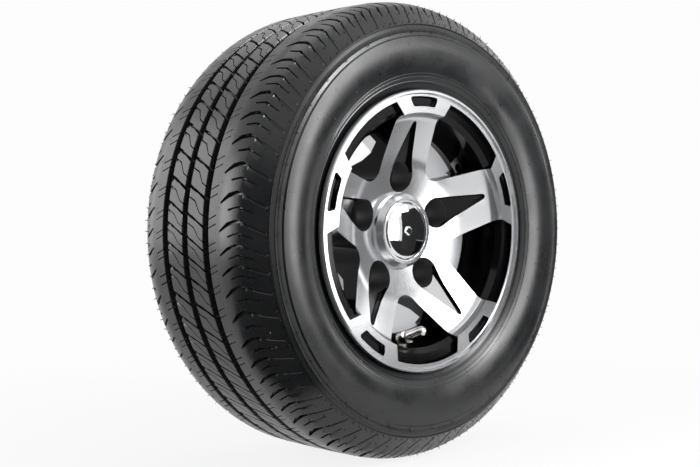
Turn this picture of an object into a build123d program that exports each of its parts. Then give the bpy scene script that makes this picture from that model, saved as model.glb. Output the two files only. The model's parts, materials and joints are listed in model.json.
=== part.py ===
from build123d import *
import os
from math import asin, atan2, cos, radians, sin, sqrt, tan

# Wheel and tyre of a light trailer: a five-spoke cast rim, its tubeless tyre, a snap-in centre cap and
# a clamp-in valve. Lengths are millimetres and angles degrees.
# The axle runs along Y, the street side faces -Y and Z points up. The origin is the wheel's centre.
# "Out" in a name is a distance outboard of the wheel's mid-plane, towards -Y.

# Tyre: sizes over the outside, drops measured down from the crown of the tread
tyre_radius = 234.25
tyre_half_width = 98.0
crown_half_width = 52.0
shoulder_half_width = 74.0
shoulder_drop = 7.0
buttress_half_width = 91.5
buttress_drop = 26.0
widest_drop = 52.0
bead_height = 21.5
bead_flare = 7.8
bead_width = 19.2
tread_thickness = 17.0
inner_crown_half_width = 60.0
inner_corner_drop = 38.0
inner_half_width = 84.0
inner_bead_height = 32.0
bead_fit = 0.3

# Tread: three grooves round the tyre, slanted notches over each shoulder and cuts across the middle ribs
groove_spacing = 32.6
groove_width = 8.6
groove_floor_width = 5.0
groove_depth = 7.5
notch_start = 54.0
notch_length = 24.0
notch_width = 3.2
notch_depth = 5.0
notch_slant = 22.0
cut_width = 2.6
cut_depth = 4.5
cut_slant = 31.0
cut_phase = -2.6
# Short, medium and long pitches follow one another so that the tread doesn't hum
pitch_sequence = "MLMSMMLLLMSSMLMSSSSMLMMLSMLLMSSMLMMSLLMSSMLMSMLLMSSMMLSMLMSMLMSM"
pitch_weights = {"S": 4.6, "M": 5.6, "L": 6.7}
pitch_start = 125.5

# Rim: barrel, flanges and drop centre
bead_radius = 126.6
rim_half_width = 76.2
flange_height = 16.1
flange_flare = 8.1
flange_thickness = 14.1
rear_flange_thickness = 11.5
lip_width = 4.6
lip_rise = 3.3
lip_bevel = 1.2
shelf_width = 3.5
ledge_drop = 5.0
ledge_width = 10.6
ledge_bevel = 5.1
front_wall = 7.7
rear_wall = 6.6
step_inset = 27.7
seat_width = 27.0
well_depth = 15.1
well_wall = 5.5
well_front_inset = 46.2
well_rear_inset = 46.2

# Rim: disc and spokes
spoke_count = 5
spoke_angle = 19.4
hub_face_out = -4.0
hub_pad_radius = 70.5
hub_shoulder_radius = 80.0
hub_shoulder_out = 28.0
arch_flank_radius = 86.4
arch_flank_out = 40.1
arch_radius = 96.5
arch_out = 47.2
dish_foot_out = 47.7
dish_bend_radius = 75.0
dish_bend_out = 56.0
dish_blend = 80.0
dish_radius = 112.0
dish_out = 73.7
cove_width = 7.7
spoke_root_radius = 64.0
spoke_root_half_width = 33.0
spoke_tip_half_width = 28.8
tee_half_angle = 17.0
window_corner = 15.0
pocket_depth = 4.5
pocket_bevel = 1.8
pocket_tip_radius = 3.2
pocket_tip_place = 108.5
slot_length = 41.6
slot_inner_length = 30.0
slot_width = 10.4
slot_depth = 4.5
slot_corner = 2.6
slot_bevel = 1.4
slot_edge = 7.1

# Rim: hub bore, boss and wheel bolts
centre_bore_radius = 33.5
centre_bore_length = 30.0
bolt_circle = 112.0
bolt_hole_radius = 7.0
bolt_seat_radius = 11.0
bolt_seat_out = 16.0
bolt_seat_half_angle = 30.0
lug_well_radius = 16.2
boss_radius = 38.6
boss_top_radius = 34.0
boss_shoulder_drop = 5.6
boss_height = 10.9

# Rim: index hole in its machined pad on the step, which places the casting on each machine
index_angle = 36.9
index_radius = 112.6
index_hole_radius = 4.2
index_hole_depth = 6.0
index_pad_angle = 38.8
index_pad_width = 14.0
index_pad_depth = 0.5
index_pad_edge = 0.4

# Centre cap: a domed disc on six sprung legs
cap_radius = 31.6
cap_rim_height = 2.4
cap_dome_radius = 29.2
cap_dome_height = 3.2
cap_line_width = 0.8
cap_line_depth = 0.6
cap_edge_drop = 0.5
cap_wall = 1.6
cap_bore_radius = 29.2
cap_ledge_length = 9.4
cap_cavity_radius = 31.8
cap_fit = 0.3
cap_gap = 0.05
cap_leg_count = 6
cap_leg_angle = 26.0
cap_leg_wall = 1.8
cap_hook_length = 2.6
cap_hook_reach = 1.3
cap_nub_radius = 2.6
cap_nub_height = 0.8
spring_wire = 1.4
spring_gap_width = 4.0

# Valve: its place in the rim, then its pieces along its axis with heights measured from the outer seat
valve_angle = -88.5
valve_radius = 114.0
valve_sink = 1.7
valve_tilt = 21.0
valve_hole_radius = 5.75
valve_spot_radius = 9.0
valve_inner_spot_radius = 8.6
valve_wall = 6.5
valve_fit = 0.06
valve_gap = 0.05
stem_radius = 4.0
stem_bore_radius = 2.6
stem_flange_radius = 7.8
stem_flange_height = 2.5
thread_radius = 3.8
thread_start = 13.5
grommet_radius = 7.6
grommet_height = 3.0
grommet_sleeve_height = 5.4
washer_radius = 7.6
washer_height = 1.4
nut_sleeve_radius = 5.6
nut_sleeve_height = 6.4
nut_across_flats = 12.6
nut_height = 4.6
valve_cap_radius = 4.9
valve_cap_start = 15.0
valve_cap_end = 37.0
valve_cap_shoulder = 2.4
valve_cap_crown_radius = 2.6
valve_cap_roof = 2.4
cap_seal_height = 1.6
cap_seal_hole_radius = 1.8
cap_seat_gap = 0.3

# Valve core: a sprung pin in a screwed-in body, with one seal round the body and one on the pin
core_length = 10.0
core_sink = 2.4
core_bore_radius = 1.55
core_floor = 1.6
core_waist_radius = 2.0
core_waist_start = 2.6
core_waist_height = 2.2
pin_radius = 0.6
pin_rise = 1.6
pin_collar_radius = 1.3
pin_collar_height = 0.8
pin_collar_sink = 0.6
pin_cup_radius = 1.9
pin_cup_height = 1.0
pin_seal_height = 0.7
pin_seal_gap = 0.3
core_coil_radius = 1.0
core_coil_wire = 0.3
core_coil_turns = 4

# Room that a cutting tool runs past the faces it cuts
overrun = 12.0

# Places worked out from the sizes
lip_radius = bead_radius + flange_height
lip_out = rim_half_width + flange_thickness
rear_lip_out = -(rim_half_width + rear_flange_thickness)
ring_out = lip_out - lip_rise
step_out = rim_half_width - step_inset
well_front_out = rim_half_width - well_front_inset
well_rear_out = well_rear_inset - rim_half_width
valve_seat_out = step_out - valve_sink
bead_toe_out = rim_half_width - bead_width
lip_inner_radius = lip_radius - lip_width
shelf_radius = lip_inner_radius - shelf_width
slot_radius = lip_inner_radius - slot_edge
ledge_out = ring_out - ledge_drop
ledge_radius = shelf_radius - ledge_width
front_radius = bead_radius - front_wall
rear_radius = bead_radius - rear_wall
seat_inner_out = rim_half_width - seat_width
well_radius = bead_radius - well_depth
bore_radius = well_radius - well_wall
ring_inner_radius = dish_radius + cove_width
boss_out = dish_foot_out + boss_height
cap_base_out = boss_out - cap_rim_height
cap_seat_out = cap_base_out - cap_gap
cap_ledge_out = cap_seat_out - cap_ledge_length
cap_hook_out = cap_ledge_out - cap_gap
cap_leg_out = cap_hook_out - cap_hook_length
cap_leg_radius = cap_bore_radius - cap_fit
cap_leg_inner_radius = cap_leg_radius - cap_leg_wall
cap_under_out = boss_out - cap_wall
index_pad_radius = (bore_radius + front_radius) / 2 - index_pad_edge
bolt_radius = bolt_circle / 2
spoke_pitch = 360 / spoke_count
first_window = spoke_angle + spoke_pitch / 2
disc_edge_radius = (front_radius + bead_radius) / 2
disc_rim_radius = (shelf_radius + lip_inner_radius) / 2
arch_edge_radius = (bore_radius + well_radius) / 2


def at(radius, out):
    """Section point: its radius, and its place outboard of the mid-plane."""
    return (radius, -out)


def around(angle):
    """Turn about the axle to an angle counted from +X towards +Z."""
    return Location((0, 0, 0), (0, -angle, 0))


def pitch_angles():
    """Angle of each tread pitch, from the pitch sequence scaled to one full turn."""
    total = sum(pitch_weights[letter] for letter in pitch_sequence)
    angles = []
    angle = pitch_start
    for letter in pitch_sequence:
        angles.append(angle)
        angle += 360 * pitch_weights[letter] / total
    return angles


# Shoulder notch: a vee slot that starts in the outer rib and runs out over the shoulder
shoulder_slope = atan2(shoulder_drop, shoulder_half_width - crown_half_width)
notch_drop = (notch_start - crown_half_width) * tan(shoulder_slope)
notch_plane = Plane(
    origin=(tyre_radius - notch_drop, -notch_start, 0),
    x_dir=(0, -sin(radians(notch_slant)), cos(radians(notch_slant))),
    z_dir=(
        -sin(shoulder_slope),
        -cos(shoulder_slope) * cos(radians(notch_slant)),
        -cos(shoulder_slope) * sin(radians(notch_slant)),
    ),
)

with BuildPart() as notch:
    with BuildSketch(notch_plane):
        Polygon(
            (-notch_width / 2, 0),
            (0, -notch_depth),
            (notch_width / 2, 0),
            (notch_width / 2, overrun),
            (-notch_width / 2, overrun),
            align=None,
        )
    extrude(amount=notch_length)

# Cross cut: a slanted vee slot through a middle rib, open to the groove on either side
rib_middle = groove_spacing / 2
cut_plane = Plane(
    origin=(tyre_radius, 0, 0),
    x_dir=(0, sin(radians(cut_slant)), cos(radians(cut_slant))),
    z_dir=(0, cos(radians(cut_slant)), -sin(radians(cut_slant))),
)

with BuildPart() as rib_cut:
    with BuildSketch(cut_plane):
        Polygon(
            (-cut_width / 2, 0),
            (0, -cut_depth),
            (cut_width / 2, 0),
            (cut_width / 2, overrun),
            (-cut_width / 2, overrun),
            align=None,
        )
    extrude(amount=rib_middle / cos(radians(cut_slant)), both=True)

# Tyre: one moulding, hollow inside and seated on the rim's two bead seats
with BuildPart() as tyre:
    with BuildSketch(Plane.XY):
        with BuildLine():
            for side in (-1, 1):
                Polyline(
                    (tyre_radius, 0),
                    (tyre_radius, side * crown_half_width),
                    (tyre_radius - shoulder_drop, side * shoulder_half_width),
                    (tyre_radius - buttress_drop, side * buttress_half_width),
                )
                sidewall = ThreePointArc(
                    (tyre_radius - buttress_drop, side * buttress_half_width),
                    (tyre_radius - widest_drop, side * tyre_half_width),
                    (bead_radius + bead_height, side * (rim_half_width + bead_flare)),
                )
                Polyline(
                    sidewall @ 1,
                    (bead_radius + bead_fit, side * (rim_half_width - bead_fit)),
                    (bead_radius + bead_fit, side * bead_toe_out),
                    (bead_radius + inner_bead_height, side * inner_half_width),
                    (tyre_radius - inner_corner_drop, side * inner_half_width),
                    (tyre_radius - tread_thickness, side * inner_crown_half_width),
                    (tyre_radius - tread_thickness, 0),
                )
        make_face()
    revolve(axis=Axis.Y)
    with BuildSketch(Plane.XY):
        with Locations(*[(tyre_radius, place * groove_spacing) for place in (-1, 0, 1)]):
            Polygon(
                (-groove_depth, -groove_floor_width / 2),
                (-groove_depth, groove_floor_width / 2),
                (0, groove_width / 2),
                (overrun, groove_width / 2),
                (overrun, -groove_width / 2),
                (0, -groove_width / 2),
                align=None,
            )
    revolve(axis=Axis.Y, mode=Mode.SUBTRACT)
    with Locations(*[around(angle) for angle in pitch_angles()]):
        add(notch.part, mode=Mode.SUBTRACT)
        add(notch.part.rotate(Axis.X, 180), mode=Mode.SUBTRACT)
    with Locations(*[around(angle + cut_phase) for angle in pitch_angles()]):
        add(rib_cut.part.moved(Location((0, -rib_middle, 0))), mode=Mode.SUBTRACT)
        add(rib_cut.part.moved(Location((0, rib_middle, 0))), mode=Mode.SUBTRACT)


# Pocket: the tapered recess along each spoke, its bevelled floor parallel to the outer part of the face
dish_slope = (dish_out - dish_bend_out) / (dish_radius - dish_bend_radius)
pocket_foot_out = dish_out - pocket_depth - dish_slope * (dish_radius - boss_radius)
with BuildPart() as pocket:
    with BuildSketch(Plane.XZ.offset(bolt_seat_out)):
        with Locations((bolt_radius, 0)):
            Circle(lug_well_radius)
        with Locations((pocket_tip_place, 0)):
            Circle(pocket_tip_radius)
        make_hull()
    extrude(amount=lip_out - bolt_seat_out)
    with BuildSketch(Plane.XY):
        Polygon(
            at(boss_radius, pocket_foot_out),
            at(dish_radius, dish_out - pocket_depth),
            at(dish_radius, lip_out + overrun),
            at(boss_radius, lip_out + overrun),
            align=None,
        )
    revolve(axis=Axis.Y, mode=Mode.INTERSECT)
    chamfer(pocket.faces().filter_by(GeomType.CONE).edges(), length=pocket_bevel)

# Lug hole: a deep round well, a conical seat and the bolt hole
bolt_seat_depth = (bolt_seat_radius - bolt_hole_radius) / tan(radians(bolt_seat_half_angle))
with BuildPart() as lug_hole:
    with BuildSketch(Plane.XY):
        with Locations((bolt_radius, 0)):
            Polygon(
                at(0, hub_face_out - overrun),
                at(bolt_hole_radius, hub_face_out - overrun),
                at(bolt_hole_radius, bolt_seat_out - bolt_seat_depth),
                at(bolt_seat_radius, bolt_seat_out),
                at(lug_well_radius, bolt_seat_out),
                at(lug_well_radius, lip_out),
                at(0, lip_out),
                align=None,
            )
    revolve(axis=Axis((bolt_radius, 0, 0), (0, 1, 0)))

# Tee slot: the shallow recess in the ring over each spoke, its ends set like the tee's own
slot_outer_radius = slot_radius + slot_width / 2
slot_inner_radius = slot_radius - slot_width / 2
slot_outer_place = sqrt(slot_outer_radius ** 2 - (slot_length / 2) ** 2)
slot_inner_place = sqrt(slot_inner_radius ** 2 - (slot_inner_length / 2) ** 2)
with BuildPart() as tee_slot:
    with BuildSketch(Plane.XZ.offset(ring_out - slot_depth)) as slot_sketch:
        with BuildLine():
            slot_outer = ThreePointArc(
                (slot_outer_place, -slot_length / 2), (slot_outer_radius, 0), (slot_outer_place, slot_length / 2)
            )
            slot_inner = ThreePointArc(
                (slot_inner_place, -slot_inner_length / 2),
                (slot_inner_radius, 0),
                (slot_inner_place, slot_inner_length / 2),
            )
            Line(slot_outer @ 0, slot_inner @ 0)
            Line(slot_outer @ 1, slot_inner @ 1)
        make_face()
        fillet(slot_sketch.vertices(), radius=slot_corner)
    extrude(amount=slot_depth + overrun)
    chamfer(tee_slot.faces().sort_by(Axis.Y)[-1].edges(), length=slot_bevel)


def window_outline():
    """Outline of one window about its own middle line, between two spokes and two tee ends."""
    half = radians(spoke_pitch / 2)

    def from_spoke(along, across):
        return (along * cos(half) + across * sin(half), -along * sin(half) + across * cos(half))

    tip_along = ring_inner_radius * cos(asin(spoke_tip_half_width / ring_inner_radius))
    root = from_spoke(spoke_root_radius, spoke_root_half_width)
    tip = from_spoke(tip_along, spoke_tip_half_width)
    inner = root[0] - root[1] * (tip[0] - root[0]) / (tip[1] - root[1])
    tee = radians(spoke_pitch / 2 - tee_half_angle)
    tee_end = (shelf_radius * cos(tee), -shelf_radius * sin(tee))
    outside = (lip_radius + overrun, tee_end[1])
    lower = [tip, tee_end, outside]
    upper = [(x, -y) for x, y in reversed(lower)]
    return [(inner, 0), *lower, *upper]


# Valve axis: it leans from the seat towards the wheel's centre
valve_spoke = Vector(cos(radians(valve_angle)), 0, sin(radians(valve_angle)))
valve_seat = valve_spoke * valve_radius + Vector(0, -valve_seat_out, 0)
valve_way = Vector(0, -cos(radians(valve_tilt)), 0) - valve_spoke * sin(radians(valve_tilt))
valve_side = Vector(-sin(radians(valve_angle)), 0, cos(radians(valve_angle)))
valve_axis = Axis(valve_seat, valve_way)
valve_plane = Plane(origin=valve_seat, x_dir=valve_side, z_dir=valve_way)
valve_section = Plane(origin=valve_seat, x_dir=valve_side, z_dir=valve_side.cross(valve_way))

# Rim: one casting, the disc with its windows first and then the barrel round it
with BuildPart() as rim:
    with BuildSketch(Plane.XY):
        with BuildLine():
            dish = FilletPolyline(
                at(boss_radius, dish_foot_out),
                at(dish_bend_radius, dish_bend_out),
                at(dish_radius, dish_out),
                radius=dish_blend,
            )
            cove = TangentArc(dish @ 1, at(ring_inner_radius, ring_out), tangent=dish % 1)
            Polyline(
                cove @ 1,
                at(disc_rim_radius, ring_out),
                at(disc_rim_radius, ledge_out),
                at(disc_edge_radius, ledge_out - ledge_bevel),
                at(disc_edge_radius, step_out),
                at(arch_edge_radius, step_out - well_wall),
                at(arch_edge_radius, well_front_out),
                at(arch_radius, arch_out),
                at(arch_flank_radius, arch_flank_out),
                at(hub_shoulder_radius, hub_shoulder_out),
                at(hub_pad_radius, hub_face_out),
                at(centre_bore_radius, hub_face_out),
                at(centre_bore_radius, hub_face_out + centre_bore_length),
                at(cap_cavity_radius, hub_face_out + centre_bore_length),
                at(cap_cavity_radius, cap_ledge_out),
                at(cap_bore_radius, cap_ledge_out),
                at(cap_bore_radius, cap_seat_out),
                at(cap_radius + cap_fit, cap_seat_out),
                at(cap_radius + cap_fit, boss_out),
                at(boss_top_radius, boss_out),
                at(boss_radius, boss_out - boss_shoulder_drop),
                dish @ 0,
            )
        make_face()
    revolve(axis=Axis.Y)
    with BuildSketch(Plane.XZ.offset(hub_face_out - overrun)) as windows:
        with PolarLocations(0, spoke_count, start_angle=first_window):
            Polygon(*window_outline(), align=None)
        fillet(windows.vertices().sort_by_distance((0, 0))[:spoke_count], radius=window_corner)
    extrude(amount=lip_out - hub_face_out + 2 * overrun, mode=Mode.SUBTRACT)
    with BuildSketch(Plane.XY):
        Polygon(
            at(shelf_radius, ring_out),
            at(shelf_radius, ledge_out),
            at(ledge_radius, ledge_out),
            at(front_radius, ledge_out - ledge_bevel),
            at(front_radius, step_out),
            at(bore_radius, step_out),
            at(bore_radius, well_rear_out),
            at(rear_radius, -seat_inner_out),
            at(rear_radius, -rim_half_width),
            at(bead_radius, rear_lip_out),
            at(lip_radius, rear_lip_out),
            at(lip_radius, -rim_half_width - flange_flare),
            at(bead_radius, -rim_half_width),
            at(bead_radius, -seat_inner_out),
            at(well_radius, well_rear_out),
            at(well_radius, well_front_out),
            at(bead_radius, seat_inner_out),
            at(bead_radius, rim_half_width),
            at(lip_radius, rim_half_width + flange_flare),
            at(lip_radius, lip_out - lip_bevel),
            at(lip_radius - lip_bevel, lip_out),
            at(lip_inner_radius + lip_bevel, lip_out),
            at(lip_inner_radius, ring_out),
            align=None,
        )
    revolve(axis=Axis.Y)
    with Locations(*[around(spoke_angle + spoke_pitch * spoke) for spoke in range(spoke_count)]):
        add(pocket.part, mode=Mode.SUBTRACT)
        add(lug_hole.part, mode=Mode.SUBTRACT)
        add(tee_slot.part, mode=Mode.SUBTRACT)
    with BuildSketch(Plane.XZ.offset(step_out - index_pad_depth)):
        with PolarLocations(index_pad_radius, 1, start_angle=index_pad_angle):
            Rectangle(front_radius - bore_radius, index_pad_width)
    extrude(amount=index_pad_depth + lip_bevel, mode=Mode.SUBTRACT)
    with BuildSketch(Plane.XZ.offset(step_out - index_pad_depth)):
        with PolarLocations(index_radius, 1, start_angle=index_angle):
            Circle(index_hole_radius)
    extrude(amount=-index_hole_depth, mode=Mode.SUBTRACT)
    with BuildSketch(valve_plane):
        Circle(valve_spot_radius)
    extrude(amount=overrun, mode=Mode.SUBTRACT)
    with BuildSketch(valve_plane):
        Circle(valve_hole_radius)
    extrude(amount=-2 * overrun, mode=Mode.SUBTRACT)
    with BuildSketch(valve_plane.offset(-valve_wall)):
        Circle(valve_inner_spot_radius)
    extrude(amount=-overrun, mode=Mode.SUBTRACT)

# Centre cap: the domed disc and a skirt, which is then slit into legs
leg_slit = radians(360 / cap_leg_count - cap_leg_angle) / 2
cap_top_out = boss_out + cap_dome_height + cap_nub_height
dome_sphere = (cap_dome_radius ** 2 + cap_dome_height ** 2) / (2 * cap_dome_height)
nub_foot_out = boss_out + cap_dome_height - dome_sphere + sqrt(dome_sphere ** 2 - cap_nub_radius ** 2)
with BuildPart() as centre_cap:
    with BuildSketch(Plane.XY):
        with BuildLine():
            dome = RadiusArc(at(cap_nub_radius, nub_foot_out), at(cap_dome_radius, boss_out), -dome_sphere)
            Polyline(
                dome @ 1,
                at(cap_dome_radius, boss_out - cap_line_depth),
                at(cap_dome_radius + cap_line_width, boss_out - cap_line_depth),
                at(cap_dome_radius + cap_line_width, boss_out),
                at(cap_radius, boss_out - cap_edge_drop),
                at(cap_radius, cap_base_out),
                at(cap_leg_radius, cap_base_out),
                at(cap_leg_radius, cap_hook_out),
                at(cap_leg_radius + cap_hook_reach, cap_hook_out),
                at(cap_leg_radius, cap_leg_out),
                at(cap_leg_inner_radius, cap_leg_out),
                at(cap_leg_inner_radius, cap_under_out),
                at(0, cap_under_out),
                at(0, cap_top_out),
                at(cap_nub_radius, cap_top_out),
                dome @ 0,
            )
        make_face()
    revolve(axis=Axis.Y)
    with BuildSketch(Plane.XZ.offset(cap_leg_out)):
        with PolarLocations(0, cap_leg_count, start_angle=180 / cap_leg_count):
            Polygon(
                (spring_gap_width, -spring_gap_width * tan(leg_slit)),
                (cap_radius, -cap_radius * tan(leg_slit)),
                (cap_radius, cap_radius * tan(leg_slit)),
                (spring_gap_width, spring_gap_width * tan(leg_slit)),
                align=None,
            )
    extrude(amount=cap_base_out - cap_leg_out, mode=Mode.SUBTRACT)

# Spring ring: bent wire with a corner behind each leg and one open side
with BuildPart() as cap_spring_ring:
    with BuildSketch(Plane.XZ.offset(cap_hook_out - cap_hook_length / 2)):
        RegularPolygon(cap_leg_inner_radius - cap_gap, cap_leg_count)
        RegularPolygon(
            cap_leg_inner_radius - cap_gap - spring_wire / cos(radians(180 / cap_leg_count)),
            cap_leg_count,
            mode=Mode.SUBTRACT,
        )
        with PolarLocations(cap_leg_inner_radius, 1, start_angle=180 / cap_leg_count):
            Rectangle(cap_leg_inner_radius / 2, spring_gap_width, mode=Mode.SUBTRACT)
    extrude(amount=spring_wire, both=True)


def turned(*points):
    """Piece of the valve turned about its axis from a section of radius and height."""
    with BuildPart() as piece:
        with BuildSketch(valve_section):
            Polygon(*points, align=None)
        revolve(axis=valve_axis)
    return piece


# Heights along the valve
grommet_base = -valve_wall - valve_gap - grommet_height
stem_shoulder = grommet_base - valve_gap
stem_base = stem_shoulder - stem_flange_height
nut_base = washer_height + 2 * valve_gap
nut_top = nut_base + nut_sleeve_height + nut_height
cap_roof = valve_cap_end - valve_cap_roof
seal_base = cap_roof - valve_gap - cap_seal_height
stem_top = seal_base - cap_seat_gap
core_top = stem_top - core_sink
core_base = core_top - core_length
waist_base = core_base + core_waist_start
waist_top = waist_base + core_waist_height
collar_top = core_top - pin_collar_sink
collar_base = collar_top - pin_collar_height
pin_seal_top = core_base - pin_seal_gap
pin_seal_base = pin_seal_top - pin_seal_height
cup_top = pin_seal_base - valve_gap
cup_base = cup_top - pin_cup_height
core_radius = stem_bore_radius - valve_fit
stem_hole_radius = stem_radius + valve_fit
cap_hole_radius = thread_radius + valve_fit

valve_stem = turned(
    (stem_bore_radius, stem_base),
    (stem_flange_radius, stem_base),
    (stem_flange_radius, stem_shoulder),
    (stem_radius, stem_shoulder),
    (stem_radius, thread_start),
    (thread_radius, thread_start),
    (thread_radius, stem_top),
    (stem_bore_radius, stem_top),
)
valve_grommet = turned(
    (stem_hole_radius, grommet_base),
    (grommet_radius, grommet_base),
    (grommet_radius, grommet_base + grommet_height),
    (valve_hole_radius - valve_fit, grommet_base + grommet_height),
    (valve_hole_radius - valve_fit, grommet_base + grommet_height + grommet_sleeve_height),
    (stem_hole_radius, grommet_base + grommet_height + grommet_sleeve_height),
)
valve_washer = turned(
    (stem_hole_radius, valve_gap),
    (washer_radius, valve_gap),
    (washer_radius, valve_gap + washer_height),
    (stem_hole_radius, valve_gap + washer_height),
)
valve_cap = turned(
    (cap_hole_radius, valve_cap_start),
    (valve_cap_radius, valve_cap_start),
    (valve_cap_radius, valve_cap_end - valve_cap_shoulder),
    (valve_cap_crown_radius, valve_cap_end),
    (0, valve_cap_end),
    (0, cap_roof),
    (cap_hole_radius, cap_roof),
)
valve_cap_seal = turned(
    (cap_seal_hole_radius, seal_base),
    (cap_hole_radius - valve_fit, seal_base),
    (cap_hole_radius - valve_fit, seal_base + cap_seal_height),
    (cap_seal_hole_radius, seal_base + cap_seal_height),
)
valve_core = turned(
    (pin_radius + valve_fit, core_base),
    (core_radius, core_base),
    (core_radius, waist_base),
    (core_waist_radius, waist_base),
    (core_waist_radius, waist_top),
    (core_radius, waist_top),
    (core_radius, core_top),
    (core_bore_radius, core_top),
    (core_bore_radius, core_base + core_floor),
    (pin_radius + valve_fit, core_base + core_floor),
)
core_seal = turned(
    (core_waist_radius + valve_fit, waist_base + valve_gap),
    (core_radius, waist_base + valve_gap),
    (core_radius, waist_top - valve_gap),
    (core_waist_radius + valve_fit, waist_top - valve_gap),
)
core_pin = turned(
    (0, cup_base),
    (pin_cup_radius, cup_base),
    (pin_cup_radius, cup_top),
    (pin_radius, cup_top),
    (pin_radius, collar_base),
    (pin_collar_radius, collar_base),
    (pin_collar_radius, collar_top),
    (pin_radius, collar_top),
    (pin_radius, core_top + pin_rise),
    (0, core_top + pin_rise),
)
pin_seal = turned(
    (pin_radius + valve_fit, pin_seal_base),
    (pin_cup_radius, pin_seal_base),
    (pin_cup_radius, pin_seal_top),
    (pin_radius + valve_fit, pin_seal_top),
)

# Valve nut: a plain sleeve that presses on the washer, with a hexagon at its top
with BuildPart() as valve_nut:
    with BuildSketch(valve_plane.offset(nut_base)):
        Circle(nut_sleeve_radius)
    extrude(amount=nut_sleeve_height)
    with BuildSketch(valve_plane.offset(nut_base + nut_sleeve_height)):
        RegularPolygon(nut_across_flats / 2, 6, major_radius=False)
    extrude(amount=nut_height)
    with BuildSketch(valve_plane.offset(nut_base)):
        Circle(stem_hole_radius)
    extrude(amount=nut_top - nut_base, mode=Mode.SUBTRACT)

# Core spring: it stands on the body's floor and lifts the pin by its collar
coil_base = core_base + core_floor + core_coil_wire / 2 + valve_gap
coil_height = collar_base - valve_gap - core_coil_wire / 2 - coil_base
coil_plane = valve_plane.offset(coil_base)
with BuildPart() as core_spring:
    with BuildLine():
        coil = Helix(
            coil_height / core_coil_turns,
            coil_height,
            core_coil_radius,
            center=coil_plane.origin,
            direction=valve_way,
        )
    with BuildSketch(Plane(origin=coil @ 0, x_dir=valve_way, z_dir=coil % 0)):
        Rectangle(core_coil_wire, core_coil_wire)
    sweep(is_frenet=True)

os.makedirs("parts", exist_ok=True)
for name, piece in {
    "tyre": tyre,
    "rim": rim,
    "centre_cap": centre_cap,
    "cap_spring_ring": cap_spring_ring,
    "valve_stem": valve_stem,
    "valve_grommet": valve_grommet,
    "valve_washer": valve_washer,
    "valve_nut": valve_nut,
    "valve_cap": valve_cap,
    "valve_cap_seal": valve_cap_seal,
    "valve_core": valve_core,
    "core_seal": core_seal,
    "core_spring": core_spring,
    "core_pin": core_pin,
    "pin_seal": pin_seal,
}.items():
    piece.part.label = name
    export_step(piece.part, f"parts/{name}.step")
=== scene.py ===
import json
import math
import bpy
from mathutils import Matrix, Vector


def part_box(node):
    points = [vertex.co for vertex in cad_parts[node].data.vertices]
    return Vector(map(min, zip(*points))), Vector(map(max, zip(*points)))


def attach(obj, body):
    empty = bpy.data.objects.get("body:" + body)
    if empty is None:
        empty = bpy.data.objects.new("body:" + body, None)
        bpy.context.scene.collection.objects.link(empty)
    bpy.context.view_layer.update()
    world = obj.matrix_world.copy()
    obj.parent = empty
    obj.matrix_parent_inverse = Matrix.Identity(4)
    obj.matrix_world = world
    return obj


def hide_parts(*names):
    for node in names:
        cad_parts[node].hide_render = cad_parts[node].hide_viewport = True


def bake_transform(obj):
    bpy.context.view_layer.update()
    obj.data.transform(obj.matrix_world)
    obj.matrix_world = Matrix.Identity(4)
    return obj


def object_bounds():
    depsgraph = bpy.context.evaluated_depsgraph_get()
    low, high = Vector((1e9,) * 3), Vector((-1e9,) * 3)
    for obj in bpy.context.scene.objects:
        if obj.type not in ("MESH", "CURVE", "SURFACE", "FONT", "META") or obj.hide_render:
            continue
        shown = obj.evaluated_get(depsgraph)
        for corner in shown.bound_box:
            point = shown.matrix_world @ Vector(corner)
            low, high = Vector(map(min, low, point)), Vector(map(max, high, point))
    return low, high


bl_info = {
    "name": "Trailer Wheel and Tyre",
    "version": (1, 0, 0),
    "blender": (4, 5, 0),
    "location": "View3D > Sidebar > Wheel",
    "description": "Dresses the trailer wheel: tyre tread, turned rim, bright cap, valve and pale studio",
    "category": "Object",
}

from functools import partial

import bmesh
import bpy
from bpy.props import FloatProperty, IntProperty, PointerProperty, StringProperty
from mathutils import Matrix, Vector
from mathutils.geometry import delaunay_2d_cdt

# The frame's axle runs along Y, the street side faces -Y and Z points up.
# "Out" is a distance outboard of the wheel's mid-plane, towards -Y.
# Sizes below are millimetres unless they say otherwise. The scene is in metres; MM turns one into the other.
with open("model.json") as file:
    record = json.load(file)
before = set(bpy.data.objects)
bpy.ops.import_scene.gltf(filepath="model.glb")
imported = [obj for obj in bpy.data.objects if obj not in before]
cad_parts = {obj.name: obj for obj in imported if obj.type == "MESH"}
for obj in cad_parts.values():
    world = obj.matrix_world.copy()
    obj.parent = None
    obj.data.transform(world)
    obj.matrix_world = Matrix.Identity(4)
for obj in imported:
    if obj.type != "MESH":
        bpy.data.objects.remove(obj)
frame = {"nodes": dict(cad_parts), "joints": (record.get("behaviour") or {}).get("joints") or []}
CAD_LOW, CAD_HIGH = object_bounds()
MM = 0.001

# Meshes: points nearer than a gap are one, and faces that meet within the flat angle, in degrees, are one
JOIN_GAP = 0.002
CUT_GAP = 0.001
SEAM_GAP = 0.02
MEET_GAP = 1e-4
FLAT_ANGLE = 0.8
# Least length that anything is divided by, in metres
TINY = 1e-9
# Faces that meet at more than these angles, in degrees, keep a sharp edge between them
SHARP_ANGLE = 32.0
TREAD_SHARP = 28.0
FLUTE_SHARP = 25.0

# Tyre sizes from the frame, in metres
TYRE_LOW, TYRE_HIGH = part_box("tyre")
TYRE_RADIUS = TYRE_HIGH.x

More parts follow.
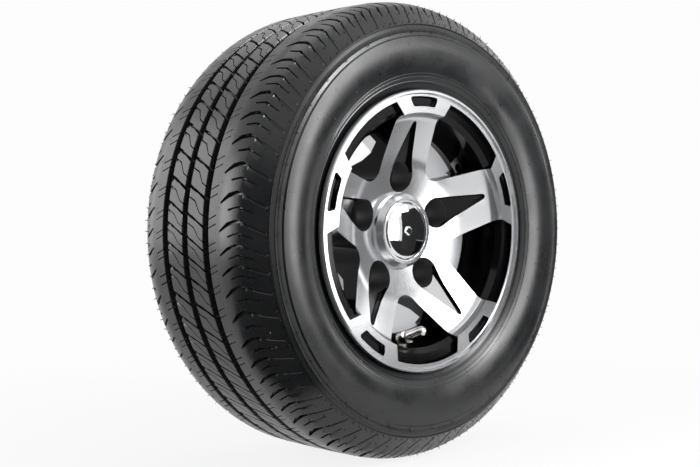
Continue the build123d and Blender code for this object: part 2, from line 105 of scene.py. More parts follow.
# Tread: places across it from the mid-plane, lengths round the tyre for a middle pitch, start in degrees
PITCH_SEQUENCE = "MLMSMMLLLMSSMLMSSSSMLMMLSMLLMSSMLMMSLLMSSMLMSMLLMSSMMLSMLMSMLMSM"
PITCH_WEIGHTS = {"S": 4.6, "M": 5.6, "L": 6.7}
PITCH_START = 125.5
PITCH_LENGTH = 22.9
PITCH_STEPS = 4
GROOVE_PLACES = (-32.6, 0.0, 32.6)
GROOVE_HALF = 4.2
GROOVE_FLOOR_HALF = 2.7
GROOVE_EDGE = 0.6
GROOVE_EDGE_DROP = 0.35
# Outline over the tread: a flat crown, a round shoulder and a straight buttress, with what each one drops
CROWN_HALF = 50.0
SHOULDER = 75.5
BUTTRESS = 92.0
CROWN_DROP = 0.6
SHOULDER_DROP = 7.4
BUTTRESS_DROP = 18.25
# Rows of points across half the tread, beside those of the grooves
ROW_PLACES = (
    0.0, 11.0, 16.3, 22.0, 46.0, 51.0, 56.0, 61.0, 66.0, 71.0, SHOULDER, 80.0, 84.0, 88.0, BUTTRESS,
)
ROW_GAP = 0.3
# How far each pitch leans round the tyre, in pitches, so that no cut crosses from one pitch into the next
LEAN = (
    (-BUTTRESS, -0.16), (-SHOULDER, -0.67), (-35.0, 0.04), (-29.5, -0.33), (-6.5, -0.95),
    (2.5, -1.42), (27.5, -1.97), (35.0, -1.92), (SHOULDER, -1.21), (BUTTRESS, -1.72),
)
# Cuts of one pitch: share of the half width that is wall, then points along the cut: place round the tyre in
# pitches, place across, half width and depth
NOTCH = (0.5, (
    (0.03, -54.0, 0.9, 3.2), (-0.24, -62.5, 1.8, 5.0), (-0.36, -70.0, 1.8, 5.2),
    (-0.33, -SHOULDER, 0.9, 3.2), (-0.20, -79.5, 0.6, 1.6),
))
NOTCH_TAIL = (0.3, ((-0.26, -77.6, 0.3, 0.5), (-0.15, -81.2, 1.3, 1.1), (0.11, -89.9, 1.3, 0.9)))
SHORT_NOTCH = (0.6, ((0.24, -63.5, 0.9, 3.0), (0.12, -72.5, 1.0, 3.2), (0.31, -82.5, 0.6, 1.0)))
EDGE_SIPES = tuple(
    (0.7, ((place - 0.07, -47.5, 0.5, 3.0), (place + 0.12, -35.6, 0.5, 3.0))) for place in (-0.46, -0.17)
)
RIB_CUT = (0.6, (
    (-0.08, -30.2, 1.2, 4.5), (-0.36, -19.0, 0.9, 4.5), (-0.50, -12.5, 1.4, 4.5), (-0.68, -3.6, 1.0, 4.5),
))
RIB_SIPE = (0.8, (
    (-0.49, -30.2, 0.45, 3.4), (-0.68, -22.0, 0.45, 3.4), (-1.10, -14.5, 0.6, 3.4), (-1.32, -3.6, 0.45, 3.4),
))
# The inner rib has the cuts of the outer one further across and round; the inner shoulder's are turned about
RIB_STEP = 33.0
RIB_SHIFT = -0.54
INNER_PHASE = -1.88

# The shading of the tread's outline is softened over this length, and a point this near to it lies on it
SHADE_STEP = 1.8
SHADE_SLACK = 0.05
# A point this share of a cut's half width inside its outline still counts as on it
OUTLINE_SLACK = 0.06

# Sidewall: an arc through the buttress, the widest point and the bead, as radius and half width
SIDEWALL_POINTS = ((208.0, 92.0), (182.25, 97.9), (148.1, 84.0))
SIDEWALL_STEP = 4.5
# Moulded rings on it: radius, half width, height over the arc; the top's share of the width, the room beside
SIDEWALL_RINGS = (
    (206.8, 0.7, 1.0), (202.4, 0.7, 1.1), (197.6, 3.2, -1.2),
    (158.4, 0.6, 0.4), (155.2, 0.6, 0.4), (150.8, 0.9, 0.8),
)
RING_TOP = 0.49
RING_CLEAR = 1.4
# Inside of the tyre from the bead to the middle, as half width and radius
INSIDE_POINTS = ((75.9, 126.9), (57.0, 126.9), (84.0, 158.6), (84.0, 196.0), (60.0, 217.2), (0.0, 217.2))

# Rings of moulding hairs: place across the tread, count, lean outward, share of full length
TREAD_HAIRS = (
    (47.5, 64, 0.0, 0.10), (52.0, 64, 0.0, 0.12), (68.0, 64, 0.4, 0.14), (73.0, 128, 0.9, 0.7),
    (80.0, 64, 0.9, 0.16), (83.0, 90, 0.9, 0.5), (89.0, 64, 0.9, 0.16), (91.0, 150, 0.9, 0.8),
)
# The same on the sidewall: radius and count
WALL_HAIRS = ((198.0, 40), (186.0, 32), (168.0, 28), (154.0, 34))
WALL_HAIR_LEAN = 0.3
# One hair: sides, share of its radius at the tip, share of its length above the foot, sway each way,
# shortest share of the length, first seed
HAIR_SIDES = 5
HAIR_TIP = 0.45
HAIR_MIDDLE = 0.45
HAIR_SWAY = (0.9, 0.5, 0.9)
HAIR_SHORTEST = 0.35
HAIR_SEED = 7

# Rim: places as radius and out, and how far off them a face may lie
BOSS_RADIUS = 38.6
BOSS_FOOT_OUT = 47.0
FACE_LINE = ((38.6, 47.7), (75.0, 56.0), (112.0, 73.7), (119.6, 74.0), (119.8, 87.0), (138.2, 87.0))
FLANGE_OUT = 84.4
LIP_INNER_RADIUS = 138.0
BARREL_RADIUS = 103.0
PAINT_EDGE_OUT = 41.0
PAD_RADII = (105.0, 118.7)
PAD_OUTS = (47.8, 48.3)
LUG_CIRCLE_RADIUS = 56.0
LUG_WELL_RADIUS = 16.3
RADIUS_SLACK = 0.3
FACE_SLACK = 0.4
# A face that looks round the wheel, or away from the axle, by more than this share is a side wall
SIDE_SHARE = 0.3
# A bare pad faces the street by more than this share, and a lug well faces inboard by less than this one
FACING_OUT = 0.9
FACING_IN = 0.5
TURNED_FACE, GLOSS_PAINT, BARE_BARREL, LUG_WELL = range(4)
SPOKE_COUNT = 5
SPOKE_ANGLE = 19.4
# Edges of the rim that are rounded: outboard of a place, and sharper than an angle in degrees
EDGE_LOWEST_OUT = 20.0
EDGE_ANGLE = 35.0
EDGE_SEGMENTS = 3
EDGE_PROFILE = 0.5

# Valve: its seat and direction, as in the frame's valve joint, and places along it from the seat
VALVE_WAY = Vector(next(j["axis"] for j in frame["joints"] if j["name"] == "valve_cap_off")).normalized()
VALVE_SEAT = Vector((2.984, -46.8, -113.961)) * MM
VALVE_CAP_GRIP = (16.0, 33.8)
VALVE_CAP_RADIUS = 4.9
FLUTE_WIDTH = 0.9
FLUTE_HEIGHT = 0.35
FLUTE_TOP = 0.4

# Rubber: sizes of its grain and dry patches, the roughness between them, relief and height of the grain
RUBBER_GRAIN = 1.2
RUBBER_BLOOM = 35.0
RUBBER_ROUGHNESS = (0.23, 0.35)
RUBBER_RELIEF = 0.15
RUBBER_GRAIN_HEIGHT = 0.2
# Other finishes: spacing of the lathe's rings, height of a grain
TOOL_MARKS = 0.7
GRAIN_HEIGHT = 0.05
# Part of a noise's range that the roughness follows
NOISE_REACH = (0.25, 0.75)
RUBBER_REACH = (0.3, 0.7)

# Stage, in metres and degrees: a bearing is counted from the street side towards +X
FLOOR = CAD_LOW.z
FLOOR_REACH = 30.0
SHADOW_REACH = (0.3, 1.0)
SHADOW_GLOW = 0.86
TOP_LIGHT_SIZE = 1.6
TOP_LIGHT_PLACE = (-0.2, 0.3, 2.2)
# Soft boxes: name, bearings of the sides, distance, heights
SOFT_LIGHTS = (
    ("front_light", (10.0, 30.0), 0.72, (-0.10, 0.80)),
    ("high_light", (33.0, 46.5), 2.4, (0.44, 0.90)),
    ("key_light", (13.0, 27.0), 2.2, (0.95, 1.45)),
    ("left_light", (-168.0, -128.0), 2.2, (-0.2, 1.3)),
    ("side_light", (-128.0, -98.0), 2.2, (-0.2, 1.0)),
    ("right_light", (68.0, 90.0), 2.2, (0.2, 0.62)),
)
# Felts: name, dark and light colour
FELTS = (("grey_felt", "#323233", "#3c3c3d"), ("black_felt", "#141415", "#1c1c1d"))
# Cards of felt: name, bearings, distances, heights of the two long sides, felt. The cap card stands near by,
# where the cap mirrors it and the rim does not; the cap's mats darken the lower half of its mirror, and the
# near one ends before what the foot of the rim mirrors
MAT = FLOOR + MM
HIGH_MAT = FLOOR + 2 * MM
CARDS = (
    ("right_board", (47.0, 72.0), (2.1, 2.1), (0.0, 0.50), "grey_felt"),
    ("low_board", (51.5, 72.0), (2.1, 2.1), (FLOOR, 0.0), "grey_felt"),
    ("cap_card", (33.0, 52.0), (0.57, 0.57), (-0.143, 0.13), "grey_felt"),
    ("camera_board", (-85.0, -22.0), (2.1, 2.1), (FLOOR, 0.9), "grey_felt"),
    ("front_mat", (51.5, 72.0), (0.6, 2.05), (MAT, MAT), "black_felt"),
    ("cap_mat", (16.0, 51.5), (0.72, 1.0), (MAT, MAT), "grey_felt"),
    ("cap_far_mat", (16.0, 37.0), (0.95, 1.7), (HIGH_MAT, HIGH_MAT), "grey_felt"),
    ("camera_mat", (-100.0, -16.0), (0.28, 2.0), (MAT, MAT), "grey_felt"),
)

# Camera: fitted to the outline of the rim and tyre in the photograph
CAMERA_PLACE = Vector((-841.279, -884.641, 16.448)) * MM
CAMERA_LOOK = Vector((0.6780, 0.7349, -0.0163))
SENSOR_WIDTH = 36.0
CLIP_START = 0.01


def linear(hex_colour):
    """Linear colour with alpha 1 from an sRGB hex value."""
    parts = [int(hex_colour[i:i + 2], 16) / 255 for i in (1, 3, 5)]
    return [c / 12.92 if c <= 0.04045 else ((c + 0.055) / 1.055) ** 2.4 for c in parts] + [1.0]


def add_node(tree, kind, values=None, **settings):
    """Adds a node with its settings, and sets or links each input; a node given links its first output."""
    node = tree.nodes.new(kind)
    for key, value in settings.items():
        setattr(node, key, value)
    for key, value in (values or {}).items():
        if isinstance(value, bpy.types.Node):
            tree.links.new(value.outputs[0], node.inputs[key])
        elif isinstance(value, bpy.types.NodeSocket):
            tree.links.new(value, node.inputs[key])
        else:
            node.inputs[key].default_value = value
    return node


def new_material(name):
    """Empty material, and what adds a node to it."""
    material = bpy.data.materials.new(name)
    material.use_nodes = True
    material.node_tree.nodes.clear()
    return material, partial(add_node, material.node_tree)


def wandering_shader(add, noise, colours, roughness, inputs, reach=NOISE_REACH):
    """Shader whose colour and roughness follow a noise from one end to the other, and the output."""
    dark, light = (linear(colour) for colour in colours)
    colour = add("ShaderNodeMix", {0: noise, 6: dark, 7: light}, data_type="RGBA").outputs[2]
    (low, high), (smooth, rough) = reach, roughness
    tone = add(
        "ShaderNodeMapRange",
        {"Value": noise, "From Min": low, "From Max": high, "To Min": smooth, "To Max": rough},
    )
    shader = add("ShaderNodeBsdfPrincipled", {"Base Color": colour, "Roughness": tone, **inputs})
    add("ShaderNodeOutputMaterial", {"Surface": shader})


def moulded_rubber(settings):
    """Moulded tyre rubber: near black, a soft sheen on broad curves, faint grain and dry bloom in patches."""
    material, add = new_material("moulded_tyre_rubber")
    place = add("ShaderNodeTexCoord").outputs["Object"]
    # Mould grain is about 0.2 mm; it is drawn at 1.2 mm to show at all
    grain = add("ShaderNodeTexNoise", {"Vector": place, "Scale": 1 / (RUBBER_GRAIN * MM), "Detail": 3.0})
    bloom = add("ShaderNodeTexNoise", {"Vector": place, "Scale": 1 / (RUBBER_BLOOM * MM), "Detail": 6.0})
    bump = add(
        "ShaderNodeBump", {"Height": grain, "Strength": RUBBER_RELIEF, "Distance": RUBBER_GRAIN_HEIGHT * MM},
    )
    colours = (settings.rubber_colour, settings.bloom_colour)
    wandering_shader(add, bloom, colours, RUBBER_ROUGHNESS, {"Normal": bump}, RUBBER_REACH)
    return material


def turned_aluminium(name, dark, light, gloss, spread, pull, metal):
    """Aluminium turned on a lathe: fine rings round the axle that draw highlights out into fans."""
    material, add = new_material(name)
    place = add("ShaderNodeTexCoord").outputs["Object"]
    flat = add("ShaderNodeVectorMath", {0: place, 1: (1.0, 0.0, 1.0)}, operation="MULTIPLY")
    radius = add("ShaderNodeVectorMath", {0: flat}, operation="LENGTH").outputs["Value"]
    # Tool marks are about 0.15 mm apart; they are drawn at 0.7 mm to show
    scale = 1 / (TOOL_MARKS * MM)
    rings = add("ShaderNodeTexNoise", {"W": radius, "Scale": scale, "Detail": 2.0}, noise_dimensions="1D")
    tangent = add("ShaderNodeTangent", direction_type="RADIAL", axis="Y")
    inputs = {"Metallic": metal, "Anisotropic": pull, "Tangent": tangent}
    wandering_shader(add, rings, (dark, light), (gloss, gloss + spread), inputs)
    return material


def grained_finish(
    name, dark, light, gloss, metallic=1.0, spread=0.12, grain=0.8, relief=0.1, specular=0.5,
):
    """Finish whose colour, gloss and height wander in a grain of a given size in millimetres."""
    material, add = new_material(name)
    place = add("ShaderNodeTexCoord").outputs["Object"]
    noise = add("ShaderNodeTexNoise", {"Vector": place, "Scale": 1 / (grain * MM), "Detail": 4.0})
    bump = add("ShaderNodeBump", {"Height": noise, "Strength": relief, "Distance": GRAIN_HEIGHT * MM})
    inputs = {"Metallic": metallic, "Normal": bump, "Specular IOR Level": specular}
    wandering_shader(add, noise, (dark, light), (gloss, gloss + spread), inputs)
    return material


def new_object(name, data):
    """Object at the origin, in the scene's collection."""
    obj = bpy.data.objects.new(name, data)
    bpy.context.scene.collection.objects.link(obj)
    return obj


def new_mesh(name, verts, faces):
    """Mesh from its points and faces."""
    mesh = bpy.data.meshes.new(name)
    mesh.from_pydata(verts, [], faces)
    return mesh


def smooth_by_angle(mesh, degrees):
    """Smooth shading with sharp edges where faces meet at more than an angle."""
    mesh.shade_smooth()
    mesh.set_sharp_from_angle(angle=math.radians(degrees))


def merged_copy(node):
    """Copy of a frame node's mesh with its loose triangles joined and flat stretches made one face."""
    mesh = frame["nodes"][node].data.copy()
    mesh.materials.clear()
    shape = bmesh.new()
    shape.from_mesh(mesh)
    bmesh.ops.remove_doubles(shape, verts=shape.verts, dist=JOIN_GAP * MM)
    bmesh.ops.dissolve_limit(
        shape, angle_limit=math.radians(FLAT_ANGLE), use_dissolve_boundaries=False,
        verts=shape.verts, edges=shape.edges,
    )
    return mesh, shape


def dressed_node(node, material, body):
    """Smooth copy of a frame node with its real finish, in its place; no body for a piece that bends."""
    mesh, shape = merged_copy(node)
    shape.to_mesh(mesh)
    shape.free()
    mesh.materials.append(material)
    smooth_by_angle(mesh, SHARP_ANGLE)
    obj = new_object(f"{node}_finished", mesh)
    if body:
        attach(obj, body)
    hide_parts(node)
    return obj


def node_group(name, inputs):
    """Geometry node tree with named inputs beside its geometry, what adds a node to it, and its inputs."""
    tree = bpy.data.node_groups.new(name, "GeometryNodeTree")
    tree.interface.new_socket("Geometry", in_out="INPUT", socket_type="NodeSocketGeometry")
    for label, kind in inputs.items():
        tree.interface.new_socket(label, in_out="INPUT", socket_type=f"NodeSocket{kind}")
    tree.interface.new_socket("Geometry", in_out="OUTPUT", socket_type="NodeSocketGeometry")
    return tree, partial(add_node, tree), tree.nodes.new("NodeGroupInput").outputs


def stamped(add, points, stamp, **values):
    """A copy of an object on each point, as plain geometry."""
    shape = add("GeometryNodeObjectInfo", {"Object": stamp}).outputs["Geometry"]
    copies = add("GeometryNodeInstanceOnPoints", {"Points": points, "Instance": shape, **values})
    return add("GeometryNodeRealizeInstances", {"Geometry": copies})


def end_tree(add, geometry, material):
    """Ends a tree with a finish on its geometry."""
    finish = add("GeometryNodeSetMaterial", {"Geometry": geometry, "Material": material})
    add("NodeGroupOutput", {"Geometry": finish})


def grown_mesh(source, tree, values):
    """Plain mesh that a geometry node tree makes on an object, with the tree's inputs set by identifier."""
    modifier = source.modifiers.new(tree.name, "NODES")
    modifier.node_group = tree
    for item in tree.interface.items_tree:
        if item.in_out == "INPUT" and item.name in values:
            modifier[item.identifier] = values[item.name]
    graph = bpy.context.evaluated_depsgraph_get()
    mesh = bpy.data.meshes.new_from_object(source.evaluated_get(graph))
    source.modifiers.remove(modifier)
    return mesh


def between(table, place):
    """Value at a place in a table of rising (place, value) pairs, straight between them."""
    for (low, first), (high, second) in zip(table, table[1:]):
        if place <= high:
            return first + (second - first) * max(0.0, (place - low) / (high - low))
    return table[-1][1]


def tread_drop(across):
    """How far the tread's outline lies under the crown, in millimetres: crown, shoulder, then buttress."""
    place = abs(across)
    crown = CROWN_DROP * (min(place, CROWN_HALF) / CROWN_HALF) ** 2
    shoulder = SHOULDER_DROP * (max(0.0, min(place, SHOULDER) - CROWN_HALF) / (SHOULDER - CROWN_HALF)) ** 2
    buttress = BUTTRESS_DROP * max(0.0, place - SHOULDER) / (BUTTRESS - SHOULDER)
    return crown + shoulder + buttress


def shade_tread(mesh):
    """Shades the tops of the tread blocks by the tread's own outline, whatever cuts run through them."""
    crown = TYRE_RADIUS / MM
    across = [vert.co.y / MM for vert in mesh.vertices]
    outward = [Vector((vert.co.x, 0.0, vert.co.z)) for vert in mesh.vertices]
    on_top = [
        abs(place) < BUTTRESS + SHADE_SLACK and abs(crown - tread_drop(place) - way.length / MM) < SHADE_SLACK
        for place, way in zip(across, outward)
    ]
    normals = [(0.0, 0.0, 0.0)] * len(mesh.loops)
    for polygon in mesh.polygons:
        if all(on_top[index] for index in polygon.vertices):
            for loop, index in zip(polygon.loop_indices, polygon.vertices):
                here = across[index]
                fall = (tread_drop(here + SHADE_STEP) - tread_drop(here - SHADE_STEP)) / (2 * SHADE_STEP)
                normals[loop] = (outward[index].normalized() + Vector((0.0, fall, 0.0))).normalized()
    mesh.normals_split_custom_set(normals)


def groove_depth(across, depth):
    """Depth of the three grooves at a place across the tread, with a small rounded edge."""
    off = min(abs(across - place) for place in GROOVE_PLACES)
    profile = ((GROOVE_FLOOR_HALF, depth), (GROOVE_HALF, GROOVE_EDGE_DROP), (GROOVE_HALF + GROOVE_EDGE, 0.0))
    return between(profile, max(off, GROOVE_FLOOR_HALF))


def placed_cut(cut, shift, step, turn=1):
    """The same cut further round and across the tread, turned about the radius by a turn of -1."""
    wall, rows = cut
    return wall, tuple((shift + turn * along, step + turn * across, *rest) for along, across, *rest in rows)


def split_cut(cut):
    """The same cut with a point of its own wherever the pitch's lean changes."""
    wall, rows = cut
    split = []
    for first, second in zip(rows, rows[1:]):
        breaks = [(place - first[1]) / (second[1] - first[1]) for place, _ in LEAN]
        for share in [0.0, *sorted(s for s in breaks if 0.0 < s < 1.0)]:
            split.append(tuple(a + (b - a) * share for a, b in zip(first, second)))
    return wall, (*split, rows[-1])


def tread_cuts():
    """Every cut of one pitch, in pitches round the tyre and millimetres across."""
    shoulder = [NOTCH, NOTCH_TAIL, SHORT_NOTCH, *EDGE_SIPES]
    ribs = [RIB_CUT, RIB_SIPE]
    inner_ribs = [placed_cut(cut, RIB_SHIFT, RIB_STEP) for cut in ribs]
    inner_shoulder = [placed_cut(cut, INNER_PHASE, 0.0, turn=-1) for cut in shoulder]
    cuts = shoulder + inner_shoulder + ribs + inner_ribs
    return [split_cut(cut) for cut in cuts]


def flat_line(rows):
    """Line of a cut in millimetres on the unrolled tread."""
    return [Vector((along * PITCH_LENGTH, across)) for along, across, _, _ in rows]


def cut_outline(rows, share):
    """Closed outline round a cut's line at a share of its half width, on the unrolled tread."""
    line = flat_line(rows)
    left, right = [], []
    runs = [(second - first).normalized() for first, second in zip(line, line[1:])]
    for number, (point, (_, _, half, _)) in enumerate(zip(line, rows)):
        before, after = runs[max(number - 1, 0)], runs[min(number, len(runs) - 1)]
        way = (before + after).normalized()
        # At a bend the outline keeps its distance from both runs
        side = Vector((-way.y, way.x)) * half * share / way.dot(after)
        # The outline reaches past the line's ends, so that the floor stays inside it
        past = way * half * ((number == len(line) - 1) - (number == 0)) * (share == 1.0)
        left.append(point + side + past)
        right.append(point - side + past)
    return left + right[::-1]


def cut_depth(cut, point):
    """Depth of a cut at a point on the unrolled tread."""
    wall, rows = cut
    line = flat_line(rows)
    best = 0.0
    for number, (first, second) in enumerate(zip(line, line[1:])):
        run = second - first
        share = max(0.0, min(1.0, (point - first).dot(run) / run.length_squared))
        ends = zip(rows[number][2:], rows[number + 1][2:])
        half, depth = (start + (end - start) * share for start, end in ends)
        gap = (point - first - run * share).length + half * OUTLINE_SLACK
        best = max(best, depth * max(0.0, min(1.0, (half - gap) / (half * (wall - 2 * OUTLINE_SLACK)))))
    return best


def circle_through(first, second, third):
    """Centre and radius of the circle through three points."""
    a, b, c = (Vector(p) for p in (first, second, third))
    one, two = b - a, c - a
    twice = 2 * (one.x * two.y - one.y * two.x)
    first_square, second_square = one.length_squared, two.length_squared
    across = two.y * first_square - one.y * second_square
    up = one.x * second_square - two.x * first_square
    centre = a + Vector((across, up)) / twice
    return centre, (centre - a).length


def sidewall_rows():
    """Points (radius, half width) down one sidewall from the buttress to the bead, with its moulded rings."""
    centre, size = circle_through(*SIDEWALL_POINTS)
    top, bottom = SIDEWALL_POINTS[0][0], SIDEWALL_POINTS[-1][0]
    widest = SIDEWALL_POINTS[1][1]
    count = round((top - bottom) / SIDEWALL_STEP)
    radii = {top - (top - bottom) * i / count for i in range(1, count + 1)}
    for radius, half, _ in SIDEWALL_RINGS:
        radii = {r for r in radii if abs(r - radius) > half * RING_CLEAR or r == bottom}
        radii |= {radius + half * share for share in (-1.0, -RING_TOP, RING_TOP, 1.0)}
    rows = []
    for radius in sorted(radii, reverse=True):
        rise = sum(h for r, half, h in SIDEWALL_RINGS if abs(radius - r) < half / 2)
        slope = (radius - centre.x) / size
        width = centre.y + math.sqrt(size ** 2 - (radius - centre.x) ** 2)
        rows.append((radius + rise * slope, min(width + rise * math.sqrt(1 - slope ** 2), widest)))
    return rows


def pitch_turns():
    """Start angle and width of each pitch, in radians, scaled to one full turn."""
    total = sum(PITCH_WEIGHTS[letter] for letter in PITCH_SEQUENCE)
    start, turns = math.radians(PITCH_START), []
    for letter in PITCH_SEQUENCE:
        width = math.tau * PITCH_WEIGHTS[letter] / total
        turns.append((start, width))
        start += width
    return turns


def tile_rows():
    """Rows of the tile from one inner end over the tread to the other: place, half width, radius, lean."""
    marks = set(ROW_PLACES)
    for place in GROOVE_PLACES:
        for off in (GROOVE_FLOOR_HALF, GROOVE_HALF, GROOVE_HALF + GROOVE_EDGE):
            marks |= {abs(place + off), abs(place - off)}
    marks |= {abs(place) for place, _ in LEAN}
    across = sorted({-m for m in marks} | marks)
    tread = [(y, y, None, between(LEAN, y)) for y in across]
    wall = sidewall_rows()
    points = wall + [(radius, width) for width, radius in INSIDE_POINTS]
    ends = {}
    for side in (-1, 1):
        place, rows = BUTTRESS, []
        last = Vector((TYRE_RADIUS / MM - tread_drop(BUTTRESS), BUTTRESS))
        lean = between(LEAN, side * BUTTRESS)
        for number, (radius, width) in enumerate(points):
            place += max((Vector((radius, width)) - last).length, ROW_GAP)
            last = Vector((radius, width))
            fade = max(0.0, 1.0 - max(0, number - len(wall)) / (len(INSIDE_POINTS) - 1))
            rows.append((side * place, side * width, radius, lean * fade))
        ends[side] = rows
    return ends[-1][::-1] + tread + ends[1]


def tread_tile(settings):
    """Flat mesh of one pitch: x round the tyre in pitches, y across and z the radius, both in metres."""
    crown = TYRE_RADIUS / MM
    rows = tile_rows()
    reach = rows[-1][0]
    points, edges = [], []
    for number, row in enumerate(rows):
        for step in range(PITCH_STEPS + 1):
            points.append(Vector((step / PITCH_STEPS * PITCH_LENGTH, row[0])))
            here = len(points) - 1
            if step:
                edges.append((here - 1, here))
            if number and step in (0, PITCH_STEPS):
                edges.append((here - PITCH_STEPS - 1, here))

    def in_tile(point):
        return Vector((point.x - between(LEAN, point.y) * PITCH_LENGTH, point.y))

    cuts, shifts = tread_cuts(), []
    for cut in cuts:
        wall, line = cut
        outline, floor = ([in_tile(p) for p in cut_outline(line, share)] for share in (1.0, 1.0 - wall))
        shift = math.floor(sum(p.x for p in outline) / len(outline) / PITCH_LENGTH) * PITCH_LENGTH
        shifts.append(shift)
        for loop in (outline, floor):
            start = len(points)
            points += [p - Vector((shift, 0.0)) for p in loop]
            edges += [(start + i, start + (i + 1) % len(loop)) for i in range(len(loop))]
    flat, _, faces, _, _, _ = delaunay_2d_cdt(points, edges, [], 0, MEET_GAP)
    verts, leans = [], []
    mean_width = math.tau / len(PITCH_SEQUENCE)
    for point in flat:
        place = max(-reach, min(reach, point.y))
        if abs(place) <= BUTTRESS + MEET_GAP:
            lean = between(LEAN, place)
            depth = groove_depth(place, settings.groove_depth / MM)
            for cut, shift in zip(cuts, shifts):
                real = Vector((point.x + shift + lean * PITCH_LENGTH, place))
                depth = max(depth, cut_depth(cut, real))
            width, radius = place, crown - tread_drop(place) - depth
        else:
            _, width, radius, lean = min(rows, key=lambda row: abs(row[0] - place))
        verts.append((point.x / PITCH_LENGTH, width * MM, radius * MM))
        leans.append(lean * mean_width)
    mesh = new_mesh("tread_tile", verts, faces)
    mesh.attributes.new("lean", "FLOAT", "POINT").data.foreach_set("value", leans)
    return mesh


def tread_tree():
    """Tree that sets a tile on every pitch and bends the row of tiles round the axle."""
    tree, add, given = node_group("pitches_round_the_tyre", {"Tile": "Object", "Rubber": "Material"})
    tiles = stamped(add, given["Geometry"], given["Tile"])
    place = add("GeometryNodeInputPosition")
    parts = add("ShaderNodeSeparateXYZ", {"Vector": place}).outputs
    start, width, lean = (
        add("GeometryNodeInputNamedAttribute", {"Name": name}, data_type="FLOAT").outputs["Attribute"]
        for name in ("start", "width", "lean")
    )
    along = add("ShaderNodeMath", {0: parts["X"], 1: width, 2: start}, operation="MULTIPLY_ADD")
    angle = add("ShaderNodeMath", {0: along, 1: lean}, operation="ADD")
    ways = [add("ShaderNodeMath", {0: angle}, operation=operation) for operation in ("COSINE", "SINE")]
    x, z = (add("ShaderNodeMath", {0: way, 1: parts["Z"]}, operation="MULTIPLY") for way in ways)
    bent = add("ShaderNodeCombineXYZ", {"X": x, "Y": parts["Y"], "Z": z})
    round_tyre = add("GeometryNodeSetPosition", {"Geometry": tiles, "Position": bent})
    joined = add("GeometryNodeMergeByDistance", {"Geometry": round_tyre, "Distance": SEAM_GAP * MM})
    end_tree(add, joined, given["Rubber"])
    return tree


def hair_tree():
    """Tree that stands moulding hairs on a ring round the axle, each leaning its own way."""
    tree, add, given = node_group(
        "moulding_hairs",
        {"Count": "Int", "Ring Radius": "Float", "Ring Place": "Float", "Rise": "Float", "Length": "Float",
         "Seed": "Int", "Hair": "Object", "Rubber": "Material"},
    )
    ring = add("GeometryNodeMeshCircle", {"Vertices": given["Count"], "Radius": given["Ring Radius"]})
    upright = add("GeometryNodeTransform", {"Geometry": ring, "Rotation": (math.pi / 2, 0.0, 0.0)})
    place = add("ShaderNodeCombineXYZ", {"Y": given["Ring Place"]})
    feet = add("GeometryNodeSetPosition", {"Geometry": upright, "Offset": place})
    here = add("GeometryNodeInputPosition")
    flat = add("ShaderNodeVectorMath", {0: here, 1: (1.0, 0.0, 1.0)}, operation="MULTIPLY")
    outward = add("ShaderNodeVectorMath", {0: flat}, operation="NORMALIZE")
    aside = add("ShaderNodeCombineXYZ", {"Y": given["Rise"]})
    stand = add("ShaderNodeVectorMath", {0: outward, 1: aside}, operation="ADD")
    sway = add(
        "FunctionNodeRandomValue", {0: [-part for part in HAIR_SWAY], 1: HAIR_SWAY, "Seed": given["Seed"]},
        data_type="FLOAT_VECTOR",
    )
    lean = add("ShaderNodeVectorMath", {0: stand, 1: sway}, operation="ADD")
    turn = add("FunctionNodeAlignRotationToVector", {"Vector": lean}, axis="Z")
    share = add(
        "FunctionNodeRandomValue", {2: HAIR_SHORTEST, 3: 1.0, "Seed": given["Seed"]}, data_type="FLOAT",
    )
    length = add("ShaderNodeMath", {0: share.outputs[1], 1: given["Length"]}, operation="MULTIPLY")
    tall = add("ShaderNodeCombineXYZ", {"X": 1.0, "Y": 1.0, "Z": length})
    end_tree(add, stamped(add, feet, given["Hair"], Rotation=turn, Scale=tall), given["Rubber"])
    return tree


def flute_tree():
    """Tree that stands grip ridges round a cap's own axis, Z, each facing out."""
    tree, add, given = node_group(
        "grip_flutes", {"Count": "Int", "Radius": "Float", "Flute": "Object", "Metal": "Material"},
    )
    ring = add("GeometryNodeMeshCircle", {"Vertices": given["Count"], "Radius": given["Radius"]})
    place = add("GeometryNodeInputPosition")
    turn = add("FunctionNodeAlignRotationToVector", {"Vector": place}, axis="X", pivot_axis="Z")
    end_tree(add, stamped(add, ring, given["Flute"], Rotation=turn), given["Metal"])
    return tree


def length_setting(label, description, size):
    """Setting for a length, with its default in millimetres."""
    return FloatProperty(
        name=label, description=description, default=size * MM, subtype="DISTANCE", unit="LENGTH",
    )


def colour_setting(label, description, default):
    """Setting for a colour."""
    return StringProperty(name=label, description=f"{description} as an sRGB hex value", default=default)


def light_setting(label, place, default):
    """Setting for a light."""
    return FloatProperty(name=label, description=f"Brightness of the {place}", default=default)


class TyreSettings(bpy.types.PropertyGroup):
    """Sizes and colour of the tyre."""

    groove_depth: length_setting("Groove depth", "Depth of the three grooves round the tread", 7.5)
    hair_length: length_setting("Hair length", "Longest moulding hair", 4.6)
    hair_radius: length_setting("Hair radius", "Radius of a moulding hair at its foot", 0.5)
    rubber_colour: colour_setting("Rubber", "Rubber", "#111213")
    bloom_colour: colour_setting("Bloom", "Dry patches", "#1c1d1f")


class RimSettings(bpy.types.PropertyGroup):
    """Finishes of the rim."""

    turned_edge: length_setting("Turned edge", "Width of the edges that the lathe leaves", 0.4)
    painted_edge: length_setting("Painted edge", "Width of the rounded edges under the paint", 1.4)
    aluminium_colour: colour_setting("Aluminium", "Turned metal", "#c9cacc")
    aluminium_shade: colour_setting("Tool marks", "Turned rings", "#c0c1c3")
    paint_colour: colour_setting("Paint", "Gloss paint", "#040405")


